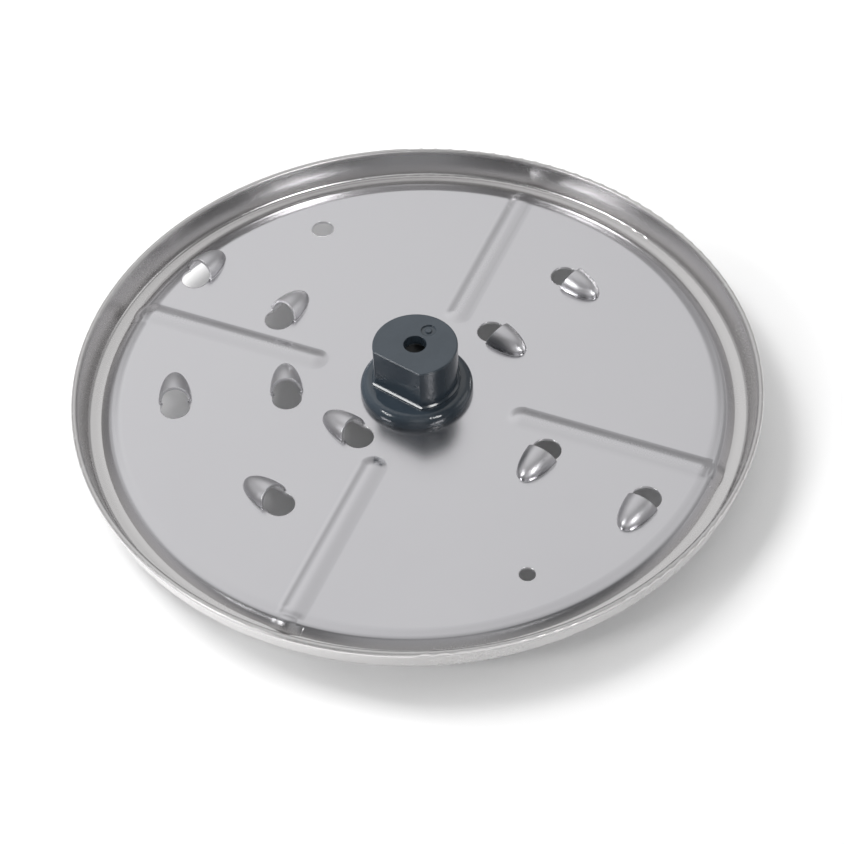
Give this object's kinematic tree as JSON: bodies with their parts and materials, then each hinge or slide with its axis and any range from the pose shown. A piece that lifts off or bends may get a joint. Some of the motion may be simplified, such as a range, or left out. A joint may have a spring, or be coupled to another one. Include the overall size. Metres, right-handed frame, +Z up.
{
  "type": "food processor grating disc",
  "caption": "Round stamped steel grating disc with hooded teeth, stiffening ribs and a folded rim, carried on a moulded plastic hub with a D-shaped drive socket.",
  "frame": {"origin": "on the disc's axis at the foot of the hub, where the disc stands on a surface", "axes": "+Z up along the disc's axis, out of the cutting face; +X to the right in the picture"},
  "size_m": [0.175, 0.175, 0.025],
  "materials": {
    "plate_steel": "satin stamped stainless sheet",
    "hub_plastic": "dark blue-grey moulded plastic, satin"
  },
  "bodies": {
    "root": {"grating_plate": "plate_steel", "drive_hub": "hub_plastic"}
  },
  "joints": []
}
